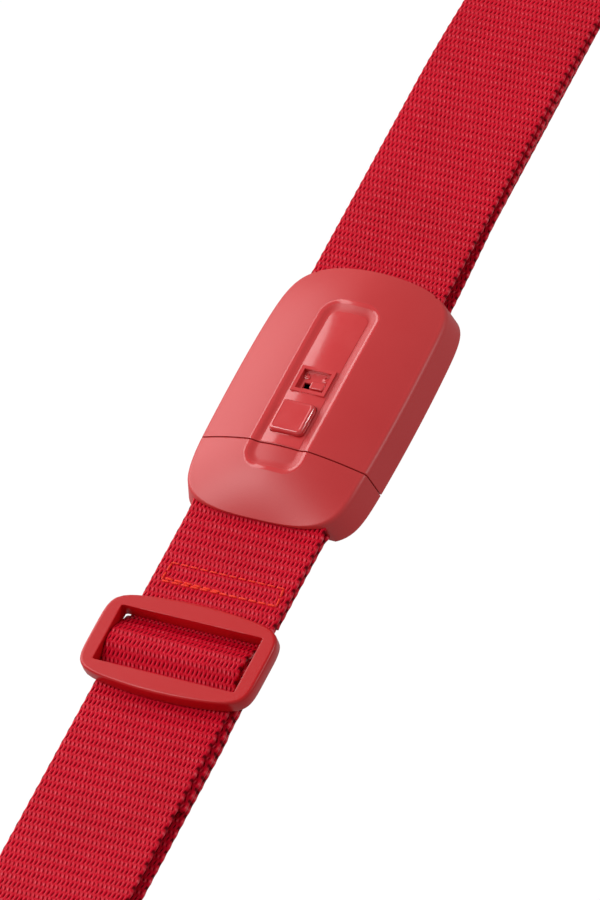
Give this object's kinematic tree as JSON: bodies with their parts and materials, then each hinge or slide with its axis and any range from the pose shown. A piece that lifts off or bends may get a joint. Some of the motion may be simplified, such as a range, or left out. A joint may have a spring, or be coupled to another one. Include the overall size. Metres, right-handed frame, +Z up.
{
  "type": "luggage strap",
  "caption": "Luggage strap: doubled webbing loop with a sliding adjuster and a press-button buckle with a slide lock, lying flat.",
  "frame": {"origin": "centre of the bounding box at table height, under the middle of the closed buckle", "axes": "+X along the strap from the adjuster towards the female half, +Y across the strap, +Z up from the table"},
  "size_m": [0.5, 0.052, 0.017],
  "materials": {
    "webbing": "woven polyester webbing, ribbed, slightly glossy yarns",
    "thread": "glossy sewing thread",
    "housing": "matte coral red moulded plastic with a fine grain",
    "base": "matte moulded plastic",
    "tongue": "smooth moulded plastic",
    "gloss": "polished moulded plastic",
    "adjuster": "satin moulded plastic",
    "mechanism": "dark acetal",
    "steel": "zinc-plated steel"
  },
  "bodies": {
    "root": {"male_cover": "housing", "male_base": "base", "tongue": "tongue", "male_strap_bar": "steel", "male_screws": "steel", "male_webbing": "webbing", "male_stitching": "thread", "back_webbing_outer": "webbing", "back_webbing_inner": "webbing"},
    "female_half": {"female_cover": "housing", "female_base": "base", "inlay_panel": "gloss", "lock_plate": "gloss", "latch_tray": "mechanism", "latch_pin": "steel", "female_strap_bar": "steel", "female_screws": "steel", "female_webbing": "webbing", "button_spring": "steel"},
    "release_button": {"release_button": "gloss"},
    "latch": {"latch_lever": "mechanism"},
    "lock": {"lock_knob": "gloss", "lock_slider": "mechanism"},
    "adjuster": {"adjuster_frame": "adjuster", "adjuster_webbing": "webbing", "anchor_webbing": "webbing", "anchor_stitching": "thread"}
  },
  "joints": [
    {"name": "buckle_unplug", "type": "slide", "parent": "root", "child": "female_half", "axis": [1, 0, 0], "range_m": [0, 0.032]},
    {"name": "button_press", "type": "slide", "parent": "female_half", "child": "release_button", "axis": [0, 0, -1], "range_m": [0, 0.0016], "stiffness_N_per_m": 2000, "springref_m": -0.001, "deforming": ["button_spring"]},
    {"name": "latch_tilt", "type": "hinge", "parent": "female_half", "child": "latch", "pos_m": [-0.0046, 0, 0.0104], "axis": [0, -1, 0], "range_deg": [0, 13.2]},
    {"name": "lock_slide", "type": "slide", "parent": "female_half", "child": "lock", "axis": [0, 1, 0], "range_m": [0, 0.0034]},
    {"name": "adjuster_slide", "type": "slide", "parent": "root", "child": "adjuster", "axis": [-1, 0, 0], "range_m": [0, 0.015]}
  ],
  "couplings": [
    {"joint": "latch_tilt", "follows": "button_press", "rad_per_m": 142.06}
  ]
}
